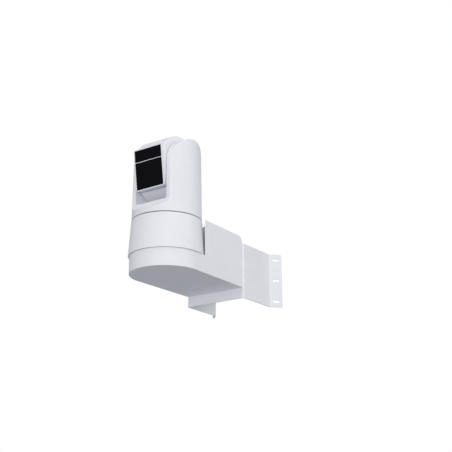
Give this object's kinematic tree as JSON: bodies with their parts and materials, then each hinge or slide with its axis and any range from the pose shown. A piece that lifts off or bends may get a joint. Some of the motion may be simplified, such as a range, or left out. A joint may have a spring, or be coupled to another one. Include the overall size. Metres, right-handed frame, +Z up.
{
  "type": "pan-tilt monitor camera",
  "caption": "Pan-tilt monitor camera: a drum tilts in a turning head on a round base, carried by an arm with a bracket that clasps a column's corner.",
  "frame": {"origin": "the column's corner edge where the bracket clasps it, at the bracket's middle height", "axes": "+Z up along the column's edge; +Y into the column; the camera looks along -Y; +X towards the viewer's right when facing the camera's back"},
  "size_m": [0.1588, 0.3128, 0.2645],
  "materials": {
    "white_casting": "white powder coat on cast aluminium",
    "white_paint": "white powder coat on sheet steel",
    "white_plastic": "fine matte moulding",
    "black_glass": "polished, tinted near black",
    "black_plastic": "matte moulding",
    "zinc_steel": "zinc plated",
    "gear_plastic": "natural acetal",
    "circuit_board": "green solder mask",
    "lens_glass": "coated glass"
  },
  "bodies": {
    "mount": {"corner_bracket": "white_paint", "arm_shell": "white_casting", "arm_bolt_1": "zinc_steel", "arm_bolt_2": "zinc_steel", "arm_bolt_3": "zinc_steel", "arm_bolt_4": "zinc_steel", "lock_plate": "zinc_steel", "lock_plate_screw_1": "zinc_steel", "lock_plate_screw_2": "zinc_steel", "lock_plate_screw_3": "zinc_steel", "base_plate": "white_plastic", "base_screw_1": "zinc_steel", "base_screw_2": "zinc_steel", "base_screw_3": "zinc_steel", "base_shell": "white_plastic", "main_board": "circuit_board", "network_jack": "zinc_steel", "power_jack": "black_plastic", "reset_switch": "black_plastic", "pan_bearing_outer": "zinc_steel", "drive_plate": "zinc_steel", "drive_plate_screw_1": "zinc_steel", "drive_plate_screw_2": "zinc_steel", "drive_plate_screw_3": "zinc_steel", "pan_motor": "zinc_steel"},
    "pan_pinion_body": {"pan_pinion": "gear_plastic"},
    "reset_button_body": {"reset_button": "white_plastic"},
    "head": {"turntable": "black_plastic", "pan_bearing_inner": "zinc_steel", "pan_gear": "gear_plastic", "head_screw_1": "zinc_steel", "head_screw_2": "zinc_steel", "head_screw_3": "zinc_steel", "head_screw_4": "zinc_steel", "yoke_shell": "white_plastic", "left_arm_cover": "white_plastic", "right_arm_cover": "white_plastic", "left_tilt_bearing": "zinc_steel", "right_tilt_bearing": "zinc_steel", "tilt_motor_mount": "zinc_steel", "tilt_mount_screw_1": "zinc_steel", "tilt_mount_screw_2": "zinc_steel", "tilt_motor": "zinc_steel"},
    "tilt_pinion_body": {"tilt_pinion": "gear_plastic"},
    "drum": {"drum_shell": "white_plastic", "left_trunnion": "gear_plastic", "right_trunnion": "gear_plastic", "tilt_gear": "gear_plastic", "window_frame": "white_plastic", "lens_window": "black_glass", "sensor_window": "black_glass", "camera_frame": "zinc_steel", "camera_frame_screw_1": "zinc_steel", "camera_frame_screw_2": "zinc_steel", "lens_barrel": "black_plastic", "front_lens": "lens_glass", "sensor_board": "circuit_board", "infrared_board": "circuit_board", "infrared_lamp_1": "lens_glass", "infrared_lamp_2": "lens_glass"}
  },
  "joints": [
    {"name": "pan", "type": "hinge", "parent": "mount", "child": "head", "pos_m": [0, -0.16953, 0.0639], "axis": [0, 0, 1], "range_deg": [-170, 170]},
    {"name": "pan_pinion_spin", "type": "hinge", "parent": "mount", "child": "pan_pinion_body", "pos_m": [-0.03, -0.16953, 0.0447], "axis": [0, 0, 1], "range_deg": [-681, 681]},
    {"name": "tilt", "type": "hinge", "parent": "head", "child": "drum", "pos_m": [0, -0.16953, 0.158], "axis": [1, 0, 0], "range_deg": [-37, 82]},
    {"name": "tilt_pinion_spin", "type": "hinge", "parent": "head", "child": "tilt_pinion_body", "pos_m": [0.0419, -0.16953, 0.134], "axis": [1, 0, 0], "range_deg": [-312, 141]},
    {"name": "reset_button_press", "type": "slide", "parent": "mount", "child": "reset_button_body", "axis": [0, -1, 0], "range_m": [0, 0.0005], "stiffness_N_per_m": 500, "springref_m": -0.0004}
  ],
  "couplings": [
    {"joint": "pan_pinion_spin", "follows": "pan", "ratio": -4},
    {"joint": "tilt_pinion_spin", "follows": "tilt", "ratio": -3.8}
  ]
}
